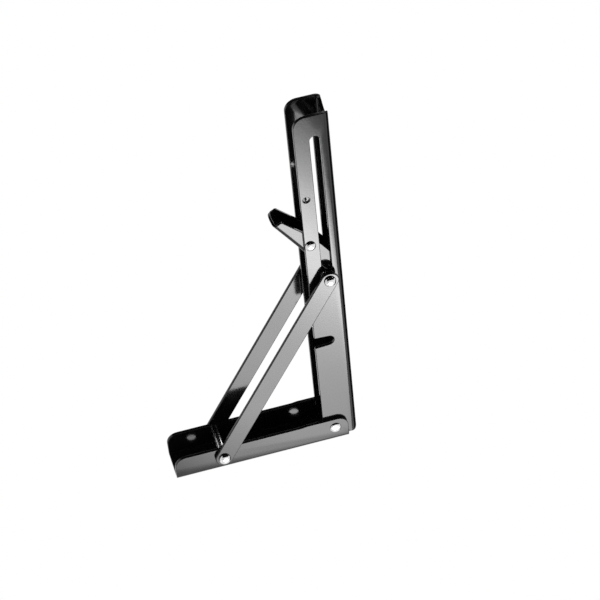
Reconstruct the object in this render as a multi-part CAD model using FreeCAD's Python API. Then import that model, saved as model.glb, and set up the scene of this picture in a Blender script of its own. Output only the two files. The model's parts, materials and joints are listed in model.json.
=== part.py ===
import FreeCAD, Part

import math
import os

# Folding triangle bracket for a shelf, in millimetres, as it hangs on a wall.
# +X leaves the wall, +Y runs across the bracket and +Z points up. The origin is the
# middle screw hole of the wall plate, on the wall. Each piece is drawn from the hinge
# axis, with x along the level shelf arm, and is shifted to the origin when it is saved.

# Sheet metal and fits
sheet = 2.5
bend_inside = 1.0
side_gap = 0.3
pin_fit = 0.05
end_gap = 0.4

# Wall plate
hinge_from_wall = 12.6
plate_above_hinge = 10.1
plate_height = 133.5
plate_depth = 20.2
ear_rise = 0.6
ear_length = 21.0
ear_blend = 6.0
ear_corner = 8.2
foot_corner = 8.5
wall_hole = 7.0
wall_hole_count = 3
top_hole_margin = 32.9
foot_hole_margin = 20.1

# Shelf arm
arm_length = 302.4
arm_width = 23.4
arm_bend_inside = 2.0
shelf_above_hinge = 17.4
arm_back_gap = 1.8
arm_back_corner = 3.0
fold_gap = 1.5
arm_tip_corner = 9.0
tip_hollow_depth = 7.5
shelf_hole = 5.5
shelf_hole_count = 3
shelf_hole_start = 28.0
shelf_hole_pitch = 100.0

# Slot, and the notch that lets the folded arm pass the lower rivet
slot_above_hinge = 5.8
slot_gap = 0.3
slot_spare = 10.0
slot_to_tip = 21.1
notch_gap = 1.0
notch_spare = 2.0
notch_flare = 1.15

# Strut and its pins
pin_below_hinge = 86.4
bar_width = 13.6
stud_diameter = 6.8
stud_head = 8.6
collar_diameter = 10.4

# Rivets
hinge_shank = 6.0
hinge_head = 8.5
lower_shank = 6.0
lower_head = 9.0
lever_shank = 6.0
lever_head = 7.7
head_rim = 0.5
head_height = 3.1

# Release lever, drawn from its rivet: along the handle, and up from the rivet
lever_sheet = 2.0
lever_slope = 34.5
lever_beyond_stud = 31.6
lever_below_hinge = 4.5
lever_nose_gap = 0.15
lever_web_drop = 7.9
handle_reach = 30.5
handle_tip_height = 6.8
handle_corner = 2.0
handle_bulge = 2.2
handle_knee_reach = 11.9
handle_knee_height = 10.8
cheek_rise = 5.2
cheek_reach = 18.2
cheek_corner = 3.0
small_corner = 1.0

# Lever spring
wire = 1.2
spring_seat_gap = 0.15
wire_sides = 8
coil_gap = 0.1
coil_whole_turns = 3
spring_leg = 14.0
spring_hole = 5.0
spring_hole_beyond_lever = 41.5
spring_hole_below_hinge = 4.1
hook_radius = 1.5
hook_recess = 1.0

# Half widths, from the middle of the bracket outwards
arm_side = arm_width / 2
arm_inside = arm_side - sheet
plate_inside = arm_side + side_gap
plate_side = plate_inside + sheet
bar_inside = plate_side + side_gap
bar_side = bar_inside + sheet
lever_side = arm_inside - side_gap
lever_inside = lever_side - lever_sheet

# Side view, from the hinge axis
arm_edge = hinge_from_wall - sheet - fold_gap
arm_depth = shelf_above_hinge + arm_edge
arm_back = hinge_from_wall - arm_back_gap
arm_tip = arm_length - arm_back
plate_bottom = plate_above_hinge - plate_height
first_hole = plate_above_hinge - top_hole_margin
last_hole = plate_bottom + foot_hole_margin
middle_hole = (first_hole + last_hole) / 2
slot_width = stud_diameter + 2 * slot_gap
slot_end = arm_tip - slot_to_tip

# The strut is as long as the folded slot allows, and that sets where it stands
# on the level arm.
folded_stud = slot_end - slot_spare
strut_length = math.hypot(folded_stud - pin_below_hinge, slot_above_hinge)
strut_rise = pin_below_hinge + slot_above_hinge
stud_place = math.sqrt(strut_length**2 - strut_rise**2)

lever_x = stud_place + lever_beyond_stud
lever_z = -lever_below_hinge
spring_hole_x = lever_x + spring_hole_beyond_lever
spring_hole_z = -spring_hole_below_hinge

HINGE = FreeCAD.Vector(0, 0, 0)
LOWER_PIN = FreeCAD.Vector(0, 0, -pin_below_hinge)
UPPER_STUD = FreeCAD.Vector(stud_place, 0, slot_above_hinge)
SLOT_END = FreeCAD.Vector(slot_end, 0, slot_above_hinge)
LEVER_PIN = FreeCAD.Vector(lever_x, 0, lever_z)
SPRING_HOLE = FreeCAD.Vector(spring_hole_x, 0, spring_hole_z)
ACROSS = FreeCAD.Vector(0, 1, 0)
UP = FreeCAD.Vector(0, 0, 1)
FORWARD = FreeCAD.Vector(1, 0, 0)
MARGIN = 5.0
TOUCH = 1e-6


def corner(before, here, after, radius):
    """Start, middle and end of the arc that rounds the corner here."""
    back = (before - here).normalize()
    ahead = (after - here).normalize()
    half = back.getAngle(ahead) / 2
    reach = radius / math.tan(half)
    inward = (back + ahead).normalize() * (radius / math.sin(half) - radius)
    return here + back * reach, here + inward, here + ahead * reach


def path_edges(arcs, closed):
    """Arcs at the corners, joined by straight edges where they don't touch."""
    edges = []
    for index, (start, middle, end) in enumerate(arcs):
        if (end - start).Length > TOUCH:
            edges.append(Part.Arc(start, middle, end).toShape())
        if closed or index < len(arcs) - 1:
            following = arcs[(index + 1) % len(arcs)][0]
            if (following - end).Length > TOUCH:
                edges.append(Part.LineSegment(end, following).toShape())
    return edges


def outline(corners):
    """Closed wire in the side view through (x, z, radius) corners."""
    points = [FreeCAD.Vector(x, 0, z) for x, z, radius in corners]
    arcs = []
    for index, (x, z, radius) in enumerate(corners):
        following = points[(index + 1) % len(points)]
        arcs.append(corner(points[index - 1], points[index], following, radius))
    return Part.Wire(path_edges(arcs, closed=True))


def link(first, last, radius):
    """Closed wire in the side view: a bar or slot with round ends about two points."""
    along = (last - first).normalize() * radius
    aside = along.cross(ACROSS)
    edges = [
        Part.LineSegment(first + aside, last + aside).toShape(),
        Part.Arc(last + aside, last + along, last - aside).toShape(),
        Part.LineSegment(last - aside, first - aside).toShape(),
        Part.Arc(first - aside, first - along, first + aside).toShape(),
    ]
    return Part.Wire(edges)


def slab(wire, low, high):
    """Solid of a side view's wire between two places across the bracket."""
    face = Part.Face(wire.translated(ACROSS * low))
    return face.extrude(ACROSS * (high - low))


def through(wire, half_width):
    return slab(wire, -half_width, half_width)


def cross_pin(centre, radius, low, high):
    """Cylinder across the bracket."""
    return Part.makeCylinder(radius, high - low, centre + ACROSS * low, ACROSS)


def cross_hole(centre, radius, half_width):
    return cross_pin(centre, radius, -half_width, half_width)


def dome(centre, radius, seat, side):
    """Rivet head that sits on the face at seat, on the side of the given sign."""
    foot = centre + ACROSS * seat * side
    rim = foot + ACROSS * head_rim * side
    top = foot + ACROSS * head_height * side
    crown = head_height - head_rim
    sphere_radius = (radius**2 + crown**2) / (2 * crown)
    ball_centre = top - ACROSS * sphere_radius * side
    half_angle = math.asin(radius / sphere_radius) / 2
    shoulder = ball_centre + (
        ACROSS * side * math.cos(half_angle) + FORWARD * math.sin(half_angle)
    ) * sphere_radius
    edges = [
        Part.LineSegment(foot, foot + FORWARD * radius).toShape(),
        Part.LineSegment(foot + FORWARD * radius, rim + FORWARD * radius).toShape(),
        Part.Arc(rim + FORWARD * radius, shoulder, top).toShape(),
        Part.LineSegment(top, foot).toShape(),
    ]
    head = Part.Face(Part.Wire(edges)).revolve(centre, ACROSS, 360)
    if head.Volume < 0:
        head.reverse()
    return head


def rivet(centre, shank, head, half_length):
    """Rivet right across the bracket, with a dome on each side."""
    solid = cross_hole(centre, shank / 2, half_length)
    for side in (1, -1):
        solid = solid.fuse(dome(centre, head / 2, half_length, side))
    return solid.removeSplitter()


def channel(width, depth, thickness, bend, length):
    """U-section of bent sheet along +X, with its web on top, outer face at z = 0."""
    half = width / 2
    inner = half - thickness
    bend_outside = bend + thickness
    section = outline([
        (-half, -depth, 0),
        (-half, 0, bend_outside),
        (half, 0, bend_outside),
        (half, -depth, 0),
        (inner, -depth, 0),
        (inner, -thickness, bend),
        (-inner, -thickness, bend),
        (-inner, -depth, 0),
    ])
    return slab(section, 0, length).rotated(HINGE, UP, -90)


def wall_plate():
    """Channel on the wall, open to the front, with ears that carry the hinge."""
    full_depth = plate_depth + ear_rise
    solid = channel(2 * plate_side, full_depth, sheet, bend_inside, plate_height)
    solid = solid.rotated(HINGE, ACROSS, -90)
    solid.translate(FreeCAD.Vector(-hinge_from_wall, 0, plate_bottom))
    # The ear falls to the flange by two equal arcs.
    blend_radius = (ear_blend**2 + ear_rise**2) / (4 * ear_rise)
    blend_reach = blend_radius * ear_rise / ear_blend
    back = -hinge_from_wall - MARGIN
    ear = full_depth - hinge_from_wall
    front = plate_depth - hinge_from_wall
    side = outline([
        (back, plate_bottom, 0),
        (back, plate_above_hinge, 0),
        (ear, plate_above_hinge, ear_corner),
        (ear, -ear_length - blend_reach, blend_radius),
        (front, -ear_length - ear_blend + blend_reach, blend_radius),
        (front, plate_bottom, foot_corner),
    ])
    solid = solid.common(through(side, plate_side + MARGIN))
    spacing = (first_hole - last_hole) / (wall_hole_count - 1)
    for index in range(wall_hole_count):
        start = FreeCAD.Vector(-hinge_from_wall - MARGIN, 0, last_hole + index * spacing)
        solid = solid.cut(Part.makeCylinder(wall_hole / 2, sheet + 2 * MARGIN, start, FORWARD))
    for centre, shank in ((HINGE, hinge_shank), (LOWER_PIN, lower_shank)):
        solid = solid.cut(cross_hole(centre, shank / 2 + pin_fit, plate_side + MARGIN))
    return solid


def notch():
    """Opening in the arm's free edge that takes the lower rivet when folded."""
    half = lower_shank / 2 + notch_gap
    mouth = half + notch_flare
    top = half + notch_spare
    return outline([
        (pin_below_hinge - mouth, -arm_edge - MARGIN, 0),
        (pin_below_hinge - half, top, half),
        (pin_below_hinge + half, top, half),
        (pin_below_hinge + mouth, -arm_edge - MARGIN, 0),
    ])


def tip_hollow():
    """Scoop in the web's end, as wide as the channel inside."""
    radius = (arm_inside**2 + tip_hollow_depth**2) / (2 * tip_hollow_depth)
    low = shelf_above_hinge - sheet - arm_bend_inside
    centre = FreeCAD.Vector(arm_tip + radius - tip_hollow_depth, 0, low)
    return Part.makeCylinder(radius, sheet + arm_bend_inside + MARGIN, centre, UP)


def shelf_arm():
    """Channel under the shelf, open downwards, with a slot in each flange."""
    solid = channel(arm_width, arm_depth, sheet, arm_bend_inside, arm_length)
    solid.translate(FreeCAD.Vector(-arm_back, 0, shelf_above_hinge))
    # The back end is round about the hinge, and above the wall plate it reaches further.
    shoulder = plate_above_hinge + end_gap
    side = outline([
        (-arm_edge, -arm_edge, arm_edge),
        (-arm_edge, shoulder, 0),
        (-arm_back, shoulder, 0),
        (-arm_back, shelf_above_hinge, arm_back_corner),
        (arm_tip, shelf_above_hinge, 0),
        (arm_tip, -arm_edge, arm_tip_corner),
    ])
    wide = arm_side + MARGIN
    solid = solid.common(through(side, wide))
    solid = solid.cut(through(link(UPPER_STUD, SLOT_END, slot_width / 2), wide))
    solid = solid.cut(through(notch(), wide))
    solid = solid.cut(tip_hollow())
    for index in range(shelf_hole_count):
        place = shelf_hole_start + index * shelf_hole_pitch
        start = FreeCAD.Vector(place, 0, shelf_above_hinge - sheet - MARGIN)
        solid = solid.cut(Part.makeCylinder(shelf_hole / 2, sheet + 2 * MARGIN, start, UP))
    solid = solid.cut(cross_hole(HINGE, hinge_shank / 2 + pin_fit, wide))
    solid = solid.cut(cross_hole(LEVER_PIN, lever_shank / 2 + pin_fit, wide))
    return solid.cut(cross_pin(SPRING_HOLE, spring_hole / 2, 0, wide))


def strut_bar(side):
    """Flat bar from the lower rivet to its stud in the slot, on one side."""
    low, high = sorted((side * bar_inside, side * bar_side))
    solid = slab(link(LOWER_PIN, UPPER_STUD, bar_width / 2), low, high)
    solid = solid.cut(cross_hole(LOWER_PIN, lower_shank / 2 + pin_fit, bar_side + MARGIN))
    return solid.cut(cross_hole(UPPER_STUD, stud_diameter / 2 + pin_fit, bar_side + MARGIN))


def upper_rivet(side):
    """Riveted outer end of the stud, in the bar."""
    low, high = sorted((side * bar_inside, side * bar_side))
    shank = cross_pin(UPPER_STUD, stud_diameter / 2, low, high)
    return shank.fuse(dome(UPPER_STUD, stud_head / 2, bar_side, side)).removeSplitter()


def slot_stud(side):
    """Inner end of the stud, which runs in the slot and stops short of the bar."""
    low, high = sorted((side * (arm_inside + pin_fit), side * (bar_inside - pin_fit)))
    return cross_pin(UPPER_STUD, stud_diameter / 2, low, high)


def stud_collar(side):
    """Ring on the stud that keeps the bar clear of the wall plate."""
    low, high = sorted((side * (arm_side + pin_fit), side * (bar_inside - pin_fit)))
    ring = cross_pin(UPPER_STUD, collar_diameter / 2, low, high)
    return ring.cut(cross_pin(UPPER_STUD, stud_diameter / 2 + pin_fit, low, high))


def lever_point(along, up):
    """Side view point of the lever, given along its handle and up from its rivet."""
    angle = math.radians(lever_slope)
    x = lever_x + along * math.cos(angle) + up * math.sin(angle)
    z = lever_z - along * math.sin(angle) + up * math.cos(angle)
    return x, z


def lever_side_view():
    """Cheek of the lever, from the handle's tip to the nose beside the stud."""
    floor = -lever_web_drop
    beyond = handle_reach + handle_bulge + MARGIN
    web_top = floor + lever_sheet
    nose_x = stud_place + stud_diameter / 2 + lever_nose_gap
    nose_top = slot_above_hinge + slot_width / 2
    angle = math.radians(lever_slope)
    nose_along = (nose_x - lever_x - floor * math.sin(angle)) / math.cos(angle)
    corners = [
        (beyond, floor, 0),
        (beyond, web_top, 0),
        (handle_reach, web_top, small_corner),
        (handle_reach, floor + handle_tip_height, handle_corner),
        (handle_knee_reach, floor + handle_knee_height, handle_knee_height),
        (0, cheek_rise, cheek_rise),
        (-cheek_reach, cheek_rise, cheek_corner),
    ]
    points = [lever_point(along, up) + (radius,) for along, up, radius in corners]
    points.append((nose_x, nose_top, small_corner))
    points.append(lever_point(nose_along, floor) + (small_corner,))
    return outline(points)


def release_lever():
    """Bent U lever: the web under the handle is pressed, the nose leaves the stud."""
    back = lever_beyond_stud + MARGIN
    length = back + handle_reach + handle_bulge
    solid = channel(2 * lever_side, 2 * lever_beyond_stud, lever_sheet, bend_inside, length)
    solid = solid.rotated(HINGE, FORWARD, 180)
    solid.translate(FreeCAD.Vector(-back, 0, -lever_web_drop))
    # Seen from above, the handle ends in an arc.
    radius = (lever_side**2 + handle_bulge**2) / (2 * handle_bulge)
    centre = FreeCAD.Vector(handle_reach + handle_bulge - radius, 0, -lever_web_drop - MARGIN)
    disc = Part.makeCylinder(radius, 4 * lever_beyond_stud, centre, UP)
    start = FreeCAD.Vector(-back, -lever_side, -lever_web_drop - MARGIN)
    shaft = Part.makeBox(back + centre.x, 2 * lever_side, 4 * lever_beyond_stud, start)
    solid = solid.common(disc.fuse(shaft))
    solid = solid.rotated(HINGE, ACROSS, lever_slope).translated(LEVER_PIN)
    solid = solid.common(through(lever_side_view(), lever_side + MARGIN))
    return solid.cut(cross_hole(LEVER_PIN, lever_shank / 2 + pin_fit, lever_side + MARGIN))


def lever_spring():
    """Torsion spring: one leg lies on the lever's web, one hooks into the flange."""
    coil_radius = lever_web_drop - lever_sheet - wire / 2 - spring_seat_gap
    reach = SPRING_HOLE - LEVER_PIN
    # Angles run from +X towards -Z, the way the wire winds. The last part of a turn stays
    # level, so the pitch leaves room for it beside the turn before.
    start_angle = math.radians(lever_slope + 90)
    end_angle = -math.atan2(reach.z, reach.x) - math.acos(coil_radius / reach.Length)
    part_turn = (end_angle - start_angle) % (2 * math.pi)
    pitch = (wire + coil_gap) / (1 - part_turn / (2 * math.pi))
    coil_end = lever_inside - wire
    coil_start = coil_end - coil_whole_turns * pitch

    def on_coil(angle, place):
        outward = FORWARD * math.cos(angle) - UP * math.sin(angle)
        return LEVER_PIN + ACROSS * place + outward * coil_radius

    def heading(angle):
        return -FORWARD * math.sin(angle) - UP * math.cos(angle)

    def coil_arc(angle, span, place, climb):
        middle = on_coil(angle + span / 2, place + climb / 2)
        end = on_coil(angle + span, place + climb)
        return Part.Arc(on_coil(angle, place), middle, end).toShape()

    first = on_coil(start_angle, coil_start)
    leg_end = first - heading(start_angle) * spring_leg
    edges = [Part.LineSegment(leg_end, first).toShape()]
    for index in range(2 * coil_whole_turns):
        angle = start_angle + index * math.pi
        edges.append(coil_arc(angle, math.pi, coil_start + index * pitch / 2, pitch / 2))
    edges.append(coil_arc(start_angle, part_turn, coil_end, 0))
    last = on_coil(end_angle, coil_end)
    bend = last + heading(end_angle) * math.sqrt(reach.Length**2 - coil_radius**2)
    tip = FreeCAD.Vector(bend.x, arm_side - hook_recess, bend.z)
    hook = [(last, last, last), corner(last, bend, tip, hook_radius), (tip, tip, tip)]
    spine = Part.Wire(edges + path_edges(hook, closed=False))
    beside = heading(start_angle).cross(ACROSS)
    ring = []
    for index in range(wire_sides + 1):
        angle = 2 * math.pi * index / wire_sides
        ring.append(leg_end + (ACROSS * math.cos(angle) + beside * math.sin(angle)) * wire / 2)
    return spine.makePipeShell([Part.makePolygon(ring)], True, True)


def nodes():
    """Every piece by its name. The right side is +Y, as one faces the wall."""
    pieces = {
        "wall_plate": wall_plate(),
        "shelf_arm": shelf_arm(),
        "release_lever": release_lever(),
        "hinge_rivet": rivet(HINGE, hinge_shank, hinge_head, plate_side),
        "lower_strut_rivet": rivet(LOWER_PIN, lower_shank, lower_head, bar_side + pin_fit),
        "lever_rivet": rivet(LEVER_PIN, lever_shank, lever_head, arm_side),
        "lever_spring": lever_spring(),
    }
    for name, side in (("right", 1), ("left", -1)):
        pieces["strut_bar_" + name] = strut_bar(side)
        pieces["upper_rivet_" + name] = upper_rivet(side)
        pieces["slot_stud_" + name] = slot_stud(side)
        pieces["stud_collar_" + name] = stud_collar(side)
    return pieces


os.makedirs("parts", exist_ok=True)
to_origin = FreeCAD.Vector(hinge_from_wall, 0, -middle_hole)
for name, shape in nodes().items():
    placed = shape.translated(to_origin)
    print(name, "valid" if placed.isValid() else "INVALID", len(placed.Solids), round(placed.Volume))
    placed.exportStep(os.path.join("parts", name + ".step"))
print("strut", round(strut_length, 3), "stud", round(stud_place, 3), "folded", round(folded_stud, 3))
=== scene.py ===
import json
import math

import bmesh
import bpy
import numpy as np
from mathutils import Matrix, Vector


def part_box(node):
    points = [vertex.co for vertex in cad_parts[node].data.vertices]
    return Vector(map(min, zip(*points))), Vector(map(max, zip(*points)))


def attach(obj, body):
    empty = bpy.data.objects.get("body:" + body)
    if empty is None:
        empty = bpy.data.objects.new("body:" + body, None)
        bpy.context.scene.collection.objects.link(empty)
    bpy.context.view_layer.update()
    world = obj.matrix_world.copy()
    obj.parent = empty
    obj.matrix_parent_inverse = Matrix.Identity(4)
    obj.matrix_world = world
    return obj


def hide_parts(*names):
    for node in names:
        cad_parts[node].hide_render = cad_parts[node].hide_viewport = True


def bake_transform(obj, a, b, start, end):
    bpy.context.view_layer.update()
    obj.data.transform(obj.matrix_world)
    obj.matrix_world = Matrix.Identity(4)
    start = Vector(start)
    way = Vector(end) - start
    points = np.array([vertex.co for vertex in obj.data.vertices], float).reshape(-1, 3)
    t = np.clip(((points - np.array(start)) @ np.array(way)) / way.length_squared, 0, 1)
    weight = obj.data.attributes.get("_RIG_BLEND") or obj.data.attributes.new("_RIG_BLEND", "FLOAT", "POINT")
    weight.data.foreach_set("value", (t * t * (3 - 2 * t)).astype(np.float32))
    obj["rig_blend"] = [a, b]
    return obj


# Folding shelf bracket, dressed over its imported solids. +X leaves the wall along the level
# arm, +Z is up, and +Y is the bracket's right side.

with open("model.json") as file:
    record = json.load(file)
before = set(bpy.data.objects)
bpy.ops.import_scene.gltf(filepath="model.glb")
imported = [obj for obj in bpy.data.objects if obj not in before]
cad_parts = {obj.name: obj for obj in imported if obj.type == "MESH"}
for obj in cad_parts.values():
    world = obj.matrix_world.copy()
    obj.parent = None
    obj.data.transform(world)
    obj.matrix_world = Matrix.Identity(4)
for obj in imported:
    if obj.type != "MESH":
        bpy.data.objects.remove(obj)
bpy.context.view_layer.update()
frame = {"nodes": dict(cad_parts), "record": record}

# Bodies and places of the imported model, in metres
BODY_OF = {node: body for body, nodes in frame["record"]["behaviour"]["bodies"].items()
           for node in nodes}
PLATE_LOW, PLATE_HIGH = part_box("wall_plate")
ARM_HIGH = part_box("shelf_arm")[1]
STUD_LOW, STUD_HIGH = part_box("slot_stud_right")
SPRING_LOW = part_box("lever_spring")[0]
BAR_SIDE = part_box("strut_bar_right")[1].y

# Camera of the photograph, taken as 600 by 600
CAMERA_TARGET = Vector((0.1429, 0.0099, 0.0474))
TOWARDS_CAMERA = Vector((0.6724, 0.7256, -0.1463))
PICTURE_UP = Vector((0.7360, -0.6342, 0.2369))
CAMERA_DISTANCE = 1.7124
CAMERA_LENS = 144.6
CAMERA_SENSOR = 36.0
CAMERA_NEAR = 0.05

# Merging of a CAD mesh: how far apart doubles lie, below which angle faces are one flat
# face, and below which angle they are shaded as one smooth face
MERGE_BELOW = 2e-6
FLAT_BELOW = math.radians(0.5)
SMOOTH_BELOW = math.radians(32)

# Rounded edges of the coated sheet, the strut bars, and the studs and collars
SHEET_EDGE = 0.00045
BAR_EDGE = 0.00075
STUD_EDGE = 0.000225
EDGE_STEPS = 3

# Turned rivets. A head is a dome of power HEAD_POWER over an upright land, which draws in
# to SEAT_DRAW of its radius below LAND_FOOT of the land's height
TURNED_STEPS = 72
CROWN_STEPS = 20
HEAD_POWER = 2.25
LAND_SHARE = 0.12
LAND_FOOT = 0.1
SEAT_DRAW = 0.99
SHANK_RADIUS = 0.0030
STUD_RADIUS = (STUD_HIGH.z - STUD_LOW.z) / 2
HINGE_HEAD_RISE = 0.55
LEVER_HEAD_RISE = 0.78

# Lever spring: its wire, its coil along y, and where painted shade turns its hook black in the flange
WIRE_THICK = 0.0012
COIL_LENGTH = 0.0054
HOOK_SHADE_FROM = ARM_HIGH.y - 0.0030
HOOK_SHADE_TO = HOOK_SHADE_FROM + 0.0005

# Finishes: noise scales of the ripple and of its patches, the ripple's depth in metres,
# and the two colours and the two roughnesses between which the patches run
RIPPLE_STRENGTH = 0.05
COARSE_IN_HEIGHT = 0.4
FINE_DETAIL = 2.0
COARSE_DETAIL = 3.0
NOISE_REACH = (0.3, 0.7)
COATING = {"ripple": 900.0, "patches": 45.0, "depth": 0.0002, "roughness": (0.09, 0.13),
           "colours": ((0.0030, 0.0030, 0.0032, 1), (0.0050, 0.0050, 0.0053, 1))}
ZINC = {"ripple": 1400.0, "patches": 260.0, "depth": 0.0001, "roughness": (0.10, 0.18),
        "colours": ((0.70, 0.70, 0.71, 1), (0.82, 0.82, 0.82, 1))}
DRAWN_WIRE = {"ripple": 2200.0, "patches": 500.0, "depth": 0.0001, "roughness": (0.3, 0.42),
              "colours": ((0.30, 0.30, 0.31, 1), (0.45, 0.45, 0.46, 1))}
# Painted shade: the black that the hook's end takes where it sits in the flange
HOOK_SHADE_BLACK = (0.004, 0.004, 0.004, 1)

# A rivet's shank is rougher than its heads, up to the outer faces of the arm's flanges
FLANGE_SIDE = min(ARM_HIGH.y, PLATE_HIGH.y)
SHANK_TO_HEAD = (FLANGE_SIDE - 0.0004, FLANGE_SIDE - 0.0002)
SHANK_ROUGHER = 0.10

# Where the slot's punch drew the arm's flange in, between the studs and the slot's end
SLOT_TOP = STUD_HIGH.z
SLOT_END = ARM_HIGH.x - 0.0211
SLOT_LEAN = math.radians(2.3)
LEAN_SPAN = 0.0036
LEAN_BEGINS = (STUD_LOW.x - 0.010, STUD_LOW.x + 0.012)
LEAN_ENDS = (SLOT_END + 0.012, SLOT_END - 0.004)

# Sheet nodes, the end of their coating's name, its shine, and their rounded edge
SHEETS = (("wall_plate", "plate", 0.42, SHEET_EDGE),
          ("shelf_arm", "arm", 0.42, SHEET_EDGE),
          ("strut_bar_right", "right_bar", 0.41, BAR_EDGE),
          ("strut_bar_left", "left_bar", 0.41, BAR_EDGE),
          # Painted shade: the lever's lower shine dims the reflections on its cheeks, which lean a little
          # away from the key
          ("release_lever", "lever", 0.34, SHEET_EDGE))

# World and floor. The world is white where it is seen and gives a weaker light, and the
# floor is lifted towards white between two distances from the middle
WHITE = (1, 1, 1, 1)
WORLD_SEEN = 1.0
WORLD_LIGHT = 0.35
FLOOR_GREY = (0.82, 0.82, 0.82, 1)
FLOOR_ROUGHNESS = 0.9
FLOOR_BELOW = 0.30
FLOOR_HALF = 6.0
LIFT_REACH = (0.5, 2.4)
FLOOR_LIFT = 0.62

# Key softbox: its place, its direction across in x and z, its width and length, and its
# brightness as (place, level) stops across it and along it
KEY_MIDDLE = Vector((-0.565, 0.75, 0.146))
KEY_DIRECTION = (0.67, 0.74)
KEY_SIZE = (0.50, 0.70)
KEY_RADIANCE = 19.0
KEY_ACROSS = ((0.0, 0.0), (0.08, 0.10), (0.18, 0.26), (0.32, 0.40), (0.50, 0.42), (0.62, 0.56),
              (0.72, 1.0), (0.80, 0.80), (0.90, 0.36), (0.95, 0.25), (1.0, 0.0))
KEY_ENDS = ((0.0, 0.0), (0.12, 0.60), (0.27, 0.80), (0.42, 0.98), (0.88, 0.94), (1.0, 0.0))

# Fills aimed at the middle: name, place, width, power in watts, and whether gloss shows it
LIGHT_MIDDLE = Vector((0.16, 0.0, 0.05))
FILLS = (("fill_left", LIGHT_MIDDLE + Vector((0.365, -0.726, 0.583)), 0.90, 6.0, True),
         ("fill_top", Vector((0.2, 0.1, 1.5)), 0.25, 9.0, False))

# Dark sides of the studio, placed about its middle
STUDIO_MIDDLE = Vector((0.16, 0.0, 0.02))
DARK_GREY = (0.01, 0.01, 0.01, 1)
CARD_TOWARDS = Vector((-0.67, -0.15, 0.73))
CARD_DISTANCE = 1.0
CARD_WIDTH = 0.9
ROOM_PROFILE = ((0.30, -0.34), (1.35, -0.34), (1.35, 0.60), (1.05, 1.20), (0.45, 1.55))
ROOM_DEGREES = (-75.0, 74.0)
ROOM_STEPS = 24


def feed(tree, node, inputs):
    """Sets each named or numbered input to a plain value, or links another output to it."""
    for socket, value in inputs.items():
        if isinstance(value, bpy.types.NodeSocket):
            tree.links.new(value, node.inputs[socket])
        else:
            node.inputs[socket].default_value = value


def calculate(tree, operation, *terms):
    """Result of a Math node, whose terms are numbers or other outputs."""
    node = tree.nodes.new("ShaderNodeMath")
    node.operation = operation
    feed(tree, node, dict(enumerate(terms)))
    return node.outputs[0]


def map_range(tree, value, source, target=(0.0, 1.0), kind="LINEAR"):
    """The value's source range laid over the target range, and held at its ends."""
    node = tree.nodes.new("ShaderNodeMapRange")
    node.interpolation_type = kind
    feed(tree, node, {"Value": value, "From Min": source[0], "From Max": source[1],
                      "To Min": target[0], "To Max": target[1]})
    return node.outputs["Result"]


def mixed_colour(tree, factor, first, second):
    """The first colour where the factor is 0, and the second where it is 1."""
    node = tree.nodes.new("ShaderNodeMix")
    node.data_type = "RGBA"
    feed(tree, node, {"Factor": factor, "A": first, "B": second})
    return node.outputs["Result"]


def mixed_shader(tree, factor, first, second):
    """The first shader where the factor is 0, and the second where it is 1."""
    node = tree.nodes.new("ShaderNodeMixShader")
    feed(tree, node, {0: factor, 1: first, 2: second})
    return node.outputs[0]


def bump(tree, height, strength, distance, under=None):
    """Normal that a height gives, laid over the normal under it where there is one."""
    node = tree.nodes.new("ShaderNodeBump")
    feed(tree, node, {"Height": height, "Strength": strength, "Distance": distance})
    if under is not None:
        feed(tree, node, {"Normal": under})
    return node.outputs["Normal"]


def split(tree, vector):
    """The outputs X, Y and Z of a vector."""
    node = tree.nodes.new("ShaderNodeSeparateXYZ")
    feed(tree, node, {0: vector})
    return node.outputs


def object_place(tree):
    """Object coordinates, which are the part's own metres on every piece."""
    return tree.nodes.new("ShaderNodeTexCoord").outputs["Object"]


def new_material(name):
    """Material with a Principled shader and an output, and nothing else."""
    material = bpy.data.materials.new(name)
    material.use_nodes = True
    tree = material.node_tree
    tree.nodes.clear()
    output = tree.nodes.new("ShaderNodeOutputMaterial")
    shader = tree.nodes.new("ShaderNodeBsdfPrincipled")
    feed(tree, output, {"Surface": shader.outputs["BSDF"]})
    return material, tree, shader


def ripple_group():
    """Fine ripple of a finish: two noises on Object coordinates.

    Height is the finer noise plus COARSE_IN_HEIGHT of the coarser one. Patch is the
    coarser noise alone, for a colour and a roughness that wander a little.
    """
    group = bpy.data.node_groups.new("coat_ripple", "ShaderNodeTree")
    for name, direction in (("Ripple Scale", "INPUT"), ("Patch Scale", "INPUT"),
                            ("Height", "OUTPUT"), ("Patch", "OUTPUT")):
        group.interface.new_socket(name, in_out=direction, socket_type="NodeSocketFloat")
    scales = group.nodes.new("NodeGroupInput")
    results = group.nodes.new("NodeGroupOutput")
    place = object_place(group)
    noises = []
    for scale, detail in (("Ripple Scale", FINE_DETAIL), ("Patch Scale", COARSE_DETAIL)):
        noise = group.nodes.new("ShaderNodeTexNoise")
        feed(group, noise, {"Vector": place, "Scale": scales.outputs[scale], "Detail": detail})
        noises.append(noise.outputs["Fac"])
    fine, coarse = noises
    height = calculate(group, "MULTIPLY_ADD", coarse, COARSE_IN_HEIGHT, fine)
    feed(group, results, {"Height": height, "Patch": coarse})
    return group


def rippled_material(name, ripple, finish):
    """Material of a finish, and its looks by socket, which the caller feeds to its shader.

    Colour and roughness run between the finish's two ends with the ripple's patches, and
    the normal follows the ripple's height.
    """
    material, tree, shader = new_material(name)
    group = tree.nodes.new("ShaderNodeGroup")
    group.node_tree = ripple
    feed(tree, group, {"Ripple Scale": finish["ripple"], "Patch Scale": finish["patches"]})
    patch = group.outputs["Patch"]
    height = group.outputs["Height"]
    looks = {"Base Color": mixed_colour(tree, patch, *finish["colours"]),
             "Roughness": map_range(tree, patch, NOISE_REACH, finish["roughness"]),
             "Normal": bump(tree, height, RIPPLE_STRENGTH, finish["depth"])}
    return material, tree, shader, looks


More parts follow.
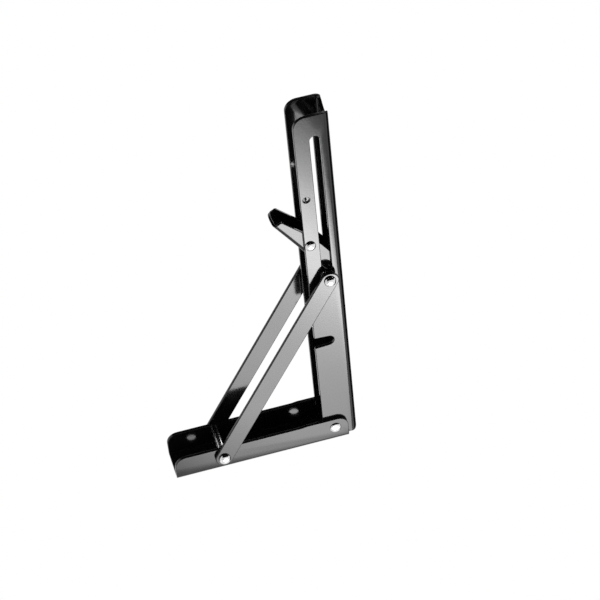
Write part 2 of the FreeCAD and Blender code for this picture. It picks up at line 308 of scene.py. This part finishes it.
def slot_pull(tree, normal):
    """Normal of the flange that leans in above its slot, where the punch drew the sheet.

    At a height h above the slot's top edge the lean is SLOT_LEAN * h / LEAN_SPAN, which a
    bump of h squared gives. It fades in at the strut's studs and out at the slot's end.
    """
    axes = split(tree, object_place(tree))
    above = calculate(tree, "SUBTRACT", axes["Z"], SLOT_TOP)
    above = calculate(tree, "MAXIMUM", above, 0.0)
    squared = calculate(tree, "MULTIPLY", above, above)
    begun = map_range(tree, axes["X"], LEAN_BEGINS, kind="SMOOTHSTEP")
    ended = map_range(tree, axes["X"], LEAN_ENDS, kind="SMOOTHSTEP")
    faded = calculate(tree, "MULTIPLY", begun, ended)
    pull = calculate(tree, "MULTIPLY", squared, faded)
    return bump(tree, pull, 1.0, -math.tan(SLOT_LEAN) / (2 * LEAN_SPAN), normal)


def coated_steel(ripple, name, shine, pulled):
    """Black baked coating: nearly black colour under a smooth gloss."""
    material, tree, shader, looks = rippled_material(name, ripple, COATING)
    if pulled:
        looks["Normal"] = slot_pull(tree, looks["Normal"])
    feed(tree, shader, {**looks, "Specular IOR Level": shine})
    return material


def bright_steel(ripple):
    """Zinc-plated rivet steel, faintly clouded, with a rougher shank between its heads."""
    material, tree, shader, looks = rippled_material("bright_rivet_steel", ripple, ZINC)
    off_middle = calculate(tree, "ABSOLUTE", split(tree, object_place(tree))["Y"])
    rougher = map_range(tree, off_middle, SHANK_TO_HEAD, (SHANK_ROUGHER, 0.0))
    looks["Roughness"] = calculate(tree, "ADD", looks["Roughness"], rougher)
    feed(tree, shader, {**looks, "Metallic": 1.0})
    return material


def spring_steel(ripple):
    """Drawn spring wire, darker than the rivets, and painted black as shade where its hook is in the flange.
    """
    material, tree, shader, looks = rippled_material("spring_wire_steel", ripple, DRAWN_WIRE)
    across = split(tree, object_place(tree))["Y"]
    # Painted shade: the wire's colour runs to black towards the hook's end in the flange
    hook_shade = map_range(tree, across, (HOOK_SHADE_FROM, HOOK_SHADE_TO), kind="SMOOTHSTEP")
    looks["Base Color"] = mixed_colour(tree, hook_shade, looks["Base Color"], HOOK_SHADE_BLACK)
    feed(tree, shader, {**looks, "Metallic": 1.0})
    return material


def add_object(name, data):
    """Object of a mesh, light or camera, put into the scene."""
    added = bpy.data.objects.new(name, data)
    bpy.context.scene.collection.objects.link(added)
    return added


def give(piece, material):
    """The piece's only material."""
    piece.data.materials.clear()
    piece.data.materials.append(material)


def stand_in(piece, node):
    """Lets the piece ride on its CAD node's body, and hides the node in its place."""
    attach(piece, BODY_OF[node])
    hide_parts(node)


def smooth_faces(mesh):
    """Smooth shading, but for edges sharper than SMOOTH_BELOW."""
    mesh.shade_smooth()
    mesh.set_sharp_from_angle(angle=SMOOTH_BELOW)


def merged_copy(node):
    """The CAD node's mesh with its loose triangles joined and its flat faces made whole."""
    mesh = frame["nodes"][node].data.copy()
    work = bmesh.new()
    work.from_mesh(mesh)
    bmesh.ops.remove_doubles(work, verts=work.verts, dist=MERGE_BELOW)
    bmesh.ops.dissolve_limit(
        work, angle_limit=FLAT_BELOW, use_dissolve_boundaries=False,
        verts=work.verts, edges=work.edges)
    bmesh.ops.recalc_face_normals(work, faces=work.faces)
    work.to_mesh(mesh)
    work.free()
    for attribute in list(mesh.attributes):
        if attribute.name == "custom_normal":
            mesh.attributes.remove(attribute)
    smooth_faces(mesh)
    return mesh


def dressed(node, name, material, edge):
    """The CAD node's own shape with softly rounded edges, in place of the node."""
    piece = add_object(name, merged_copy(node))
    rounding = piece.modifiers.new("rounded_edges", "BEVEL")
    rounding.width = edge
    rounding.segments = EDGE_STEPS
    rounding.limit_method = "ANGLE"
    rounding.angle_limit = SMOOTH_BELOW
    rounding.use_clamp_overlap = False
    rounding.harden_normals = True
    give(piece, material)
    stand_in(piece, node)


def turned(name, centre, profile):
    """Surface of revolution about the axis along y through the centre, an (x, z).

    profile is a run of (radius, y) from the axis back to the axis. The point at angle t
    is (centre x + radius cos t, y, centre z + radius sin t), and each end of the profile
    is one point, which a fan of triangles closes.
    """
    radius, across = np.array(profile[1:-1]).T
    angle = np.linspace(0.0, 2 * math.pi, TURNED_STEPS, endpoint=False)
    grid = np.empty((len(radius), TURNED_STEPS, 3))
    grid[..., 0] = centre[0] + radius[:, None] * np.cos(angle)
    grid[..., 1] = across[:, None]
    grid[..., 2] = centre[1] + radius[:, None] * np.sin(angle)
    poles = [(centre[0], profile[0][1], centre[1]), (centre[0], profile[-1][1], centre[1])]
    points = np.concatenate((grid.reshape(-1, 3), poles))
    here = np.arange(TURNED_STEPS)
    following = np.roll(here, -1)
    ring = np.arange(len(radius) - 1)[:, None] * TURNED_STEPS
    quads = np.stack((ring + here, ring + following, ring + TURNED_STEPS + following,
                      ring + TURNED_STEPS + here), axis=-1).reshape(-1, 4)
    last = (len(radius) - 1) * TURNED_STEPS
    first_pole = np.full(TURNED_STEPS, len(points) - 2)
    last_pole = np.full(TURNED_STEPS, len(points) - 1)
    fans = np.concatenate((np.stack((first_pole, following, here), axis=-1),
                           np.stack((last_pole, last + here, last + following), axis=-1)))
    mesh = bpy.data.meshes.new(name)
    mesh.from_pydata(points.tolist(), [], quads.tolist() + fans.tolist())
    work = bmesh.new()
    work.from_mesh(mesh)
    bmesh.ops.recalc_face_normals(work, faces=work.faces)
    work.to_mesh(mesh)
    work.free()
    smooth_faces(mesh)
    return add_object(name, mesh)


def head_profile(radius, seat, top, shank, side):
    """Riveted head as a run of (radius, y), from the middle of its crown to the shank.

    The dome is a quarter of a superellipse over an upright land: at angle t its radius is
    R sin(t)^(2/p) and its height H cos(t)^(2/p), with the power p a little over 2, so that
    the crown is flatter and the shoulder rounder than a ball's. side is 1 on the right
    and -1 on the left.
    """
    land = LAND_SHARE * (top - seat)
    bulge = top - seat - land
    turn = np.linspace(0.0, math.pi / 2, CROWN_STEPS)
    reach = radius * np.sin(turn) ** (2 / HEAD_POWER)
    height = seat + land + bulge * np.cos(turn) ** (2 / HEAD_POWER)
    foot = [(radius, seat + LAND_FOOT * land), (SEAT_DRAW * radius, seat), (shank, seat)]
    return [(r, side * y) for r, y in list(zip(reach, height)) + foot]


def turned_rivet(node, name, material, profile):
    """The profile turned about its CAD node's axis, in place of the node."""
    low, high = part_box(node)
    piece = turned(name, ((low.x + high.x) / 2, (low.z + high.z) / 2), profile)
    give(piece, material)
    stand_in(piece, node)


def rivet(node, name, material, seat, rise):
    """Rivet right across the bracket, with a head on the seat at each side.

    rise is the height of its heads as a share of the CAD node's.
    """
    low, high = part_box(node)
    radius = (high.z - low.z) / 2
    right_top = seat + rise * (high.y - seat)
    left_top = seat + rise * (-low.y - seat)
    right = head_profile(radius, seat, right_top, SHANK_RADIUS, 1)
    left = head_profile(radius, seat, left_top, SHANK_RADIUS, -1)
    turned_rivet(node, name, material, right + left[::-1])


def upper_rivet(node, name, material):
    """Outer end of an upper stud: a head on its strut bar, and a plain end inside."""
    low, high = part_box(node)
    side = 1 if high.y > 0 else -1
    plain, top = sorted((abs(low.y), abs(high.y)))
    profile = head_profile((high.z - low.z) / 2, BAR_SIDE, top, STUD_RADIUS, side)
    profile += [(STUD_RADIUS, side * plain), (0.0, side * plain)]
    turned_rivet(node, name, material, profile)


def seen_directly(tree):
    """1 for a ray from the camera, a gloss or a glass, and 0 for one that gathers light."""
    path = tree.nodes.new("ShaderNodeLightPath").outputs
    seen = calculate(tree, "MAXIMUM", path["Is Camera Ray"], path["Is Glossy Ray"])
    return calculate(tree, "MAXIMUM", seen, path["Is Transmission Ray"])


def make_world():
    """White background for the eye, gloss and glass, and a modest even light for the rest."""
    world = bpy.data.worlds.new("studio")
    bpy.context.scene.world = world
    world.use_nodes = True
    tree = world.node_tree
    tree.nodes.clear()
    backgrounds = []
    for strength in (WORLD_LIGHT, WORLD_SEEN):
        background = tree.nodes.new("ShaderNodeBackground")
        feed(tree, background, {"Color": WHITE, "Strength": strength})
        backgrounds.append(background.outputs[0])
    output = tree.nodes.new("ShaderNodeOutputWorld")
    feed(tree, output, {"Surface": mixed_shader(tree, seen_directly(tree), *backgrounds)})


def make_floor():
    """Pale floor below the bracket, which can be seen through from below.

    Its lift towards white grows with the distance from the middle, so that the near floor
    keeps the bracket's shadow.
    """
    height = PLATE_LOW.z - FLOOR_BELOW
    corners = [(-FLOOR_HALF, -FLOOR_HALF, height), (FLOOR_HALF, -FLOOR_HALF, height),
               (FLOOR_HALF, FLOOR_HALF, height), (-FLOOR_HALF, FLOOR_HALF, height)]
    mesh = bpy.data.meshes.new("studio_floor")
    mesh.from_pydata(corners, [], [(0, 1, 2, 3)])
    floor = add_object("studio_floor", mesh)
    material, tree, shader = new_material("pale_floor")
    distance = tree.nodes.new("ShaderNodeVectorMath")
    distance.operation = "LENGTH"
    feed(tree, distance, {0: object_place(tree)})
    lift = map_range(tree, distance.outputs["Value"], LIFT_REACH, (0.0, FLOOR_LIFT))
    lift = calculate(tree, "MULTIPLY", lift, seen_directly(tree))
    feed(tree, shader, {"Base Color": FLOOR_GREY, "Roughness": FLOOR_ROUGHNESS,
                        "Emission Color": WHITE, "Emission Strength": lift})
    underside = tree.nodes.new("ShaderNodeNewGeometry").outputs["Backfacing"]
    clear = tree.nodes.new("ShaderNodeBsdfTransparent").outputs[0]
    surface = mixed_shader(tree, underside, shader.outputs["BSDF"], clear)
    output = next(n for n in tree.nodes if n.type == "OUTPUT_MATERIAL")
    feed(tree, output, {"Surface": surface})
    give(floor, material)


def area_light(name, place, width, power, in_gloss):
    """Square area light, aimed at the middle of the bracket."""
    light = bpy.data.lights.new(name, "AREA")
    light.shape = "SQUARE"
    light.size = width
    light.energy = power
    lamp = add_object(name, light)
    lamp.location = place
    lamp.rotation_mode = "QUATERNION"
    lamp.rotation_quaternion = (LIGHT_MIDDLE - place).to_track_quat("-Z", "Y")
    lamp.visible_glossy = in_gloss


def ramp(tree, value, stops):
    """Grey that runs through the (place, level) stops."""
    node = tree.nodes.new("ShaderNodeValToRGB")
    node.color_ramp.interpolation = "EASE"
    points = node.color_ramp.elements
    while len(points) < len(stops):
        points.new(0.5)
    for point, (place, level) in zip(points, stops):
        point.position = place
        point.color = (level, level, level, 1)
    feed(tree, node, {"Fac": value})
    return node.outputs["Color"]


def key_softbox():
    """Softbox off the bracket's right side, which faces -Y and is brightest along a ridge.

    Its brightness is one grey across it times another along it. Across runs along
    KEY_DIRECTION in the XZ plane, and the length is square to that.
    """
    light = bpy.data.lights.new("key", "AREA")
    light.shape = "RECTANGLE"
    light.size, light.size_y = KEY_SIZE
    light.energy = KEY_RADIANCE * math.pi * KEY_SIZE[0] * KEY_SIZE[1]
    lamp = add_object("key", light)
    across = Vector((KEY_DIRECTION[0], 0.0, KEY_DIRECTION[1])).normalized()
    back = Vector((0.0, 1.0, 0.0))
    turn = Matrix((across, back.cross(across), back)).transposed().to_4x4()
    lamp.matrix_world = Matrix.Translation(KEY_MIDDLE) @ turn
    light.use_nodes = True
    tree = light.node_tree
    axes = split(tree, tree.nodes.new("ShaderNodeNewGeometry").outputs["Parametric"])
    level = calculate(tree, "MULTIPLY", ramp(tree, axes["X"], KEY_ACROSS),
                      ramp(tree, axes["Y"], KEY_ENDS))
    emission = next(n for n in tree.nodes if n.type == "EMISSION")
    feed(tree, emission, {"Strength": level})


def dark_surface(name, points, faces):
    """Dark side of the studio, which only gloss can see."""
    mesh = bpy.data.meshes.new(name)
    mesh.from_pydata(points, [], faces)
    surface = add_object(name, mesh)
    material, tree, shader = new_material(name)
    feed(tree, shader, {"Base Color": DARK_GREY, "Roughness": 1.0, "Specular IOR Level": 0.0})
    surface.visible_camera = False
    surface.visible_diffuse = False
    surface.visible_shadow = False
    surface.visible_transmission = False
    give(surface, material)


def dark_card():
    """Square card above and behind the wall plate, which faces the studio's middle."""
    back = CARD_TOWARDS.normalized()
    side = back.cross(Vector((0.0, 0.0, 1.0))).normalized() * CARD_WIDTH / 2
    top = side.cross(back).normalized() * CARD_WIDTH / 2
    place = STUDIO_MIDDLE + back * CARD_DISTANCE
    corners = [place - side - top, place + side - top, place + side + top, place - side + top]
    points = [tuple(point) for point in corners]
    dark_surface("dark_card_above", points, [(0, 1, 2, 3)])


def dark_room():
    """Front of the dark room: ROOM_PROFILE, a run of (radius, z), turned about the middle.

    The point at angle t is (radius cos t, radius sin t, z), off the studio's middle in x
    and y.
    """
    angle = np.radians(np.linspace(*ROOM_DEGREES, ROOM_STEPS))
    radius, height = np.array(ROOM_PROFILE).T
    width = len(ROOM_PROFILE)
    points = np.empty((ROOM_STEPS, width, 3))
    points[..., 0] = STUDIO_MIDDLE.x + radius * np.cos(angle)[:, None]
    points[..., 1] = STUDIO_MIDDLE.y + radius * np.sin(angle)[:, None]
    points[..., 2] = height
    row = np.arange(ROOM_STEPS - 1)[:, None] * width
    here = np.arange(width - 1)
    faces = np.stack((row + here, row + width + here, row + width + here + 1,
                      row + here + 1), axis=-1).reshape(-1, 4)
    dark_surface("dark_room_front", points.reshape(-1, 3).tolist(), faces.tolist())


def make_lights():
    """Key softbox, the two fills, and the dark sides of the studio."""
    key_softbox()
    for fill in FILLS:
        area_light(*fill)
    dark_card()
    dark_room()


def make_camera():
    """Camera at the photograph's place, with the photograph's way up."""
    back = TOWARDS_CAMERA.normalized()
    side = PICTURE_UP.cross(back).normalized()
    camera = bpy.data.cameras.new("camera")
    camera.lens = CAMERA_LENS
    camera.sensor_width = CAMERA_SENSOR
    camera.clip_start = CAMERA_NEAR
    eye = add_object("camera", camera)
    turn = Matrix((side, back.cross(side), back)).transposed().to_4x4()
    eye.matrix_world = Matrix.Translation(CAMERA_TARGET + back * CAMERA_DISTANCE) @ turn
    bpy.context.scene.camera = eye


RIPPLE = ripple_group()
for node, name, shine, edge in SHEETS:
    coating = coated_steel(RIPPLE, "black_coating_" + name, shine, node == "shelf_arm")
    dressed(node, node + "_coated", coating, edge)

BRIGHT = bright_steel(RIPPLE)
rivet("hinge_rivet", "hinge_rivet_bright", BRIGHT, PLATE_HIGH.y, HINGE_HEAD_RISE)
rivet("lower_strut_rivet", "lower_strut_rivet_bright", BRIGHT, BAR_SIDE, 1.0)
rivet("lever_rivet", "lever_rivet_bright", BRIGHT, ARM_HIGH.y, LEVER_HEAD_RISE)
for side in ("right", "left"):
    upper_rivet("upper_rivet_" + side, "upper_rivet_bright_" + side, BRIGHT)
    for kind in ("slot_stud_", "stud_collar_"):
        dressed(kind + side, kind + "bright_" + side, BRIGHT, STUD_EDGE)

# The spring's leg turns with the lever, its hook stays in the arm's right flange, and its
# coil winds up between them
wire_piece = add_object("lever_spring_wire", merged_copy("lever_spring"))
give(wire_piece, spring_steel(RIPPLE))
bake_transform(wire_piece, "release_lever", "shelf_arm",
         start=(SPRING_LOW.x, SPRING_LOW.y + WIRE_THICK, SPRING_LOW.z),
         end=(SPRING_LOW.x, SPRING_LOW.y + WIRE_THICK + COIL_LENGTH, SPRING_LOW.z))
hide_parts("lever_spring")

make_world()
make_floor()
make_lights()
make_camera()
bpy.context.scene.view_settings.view_transform = "Standard"
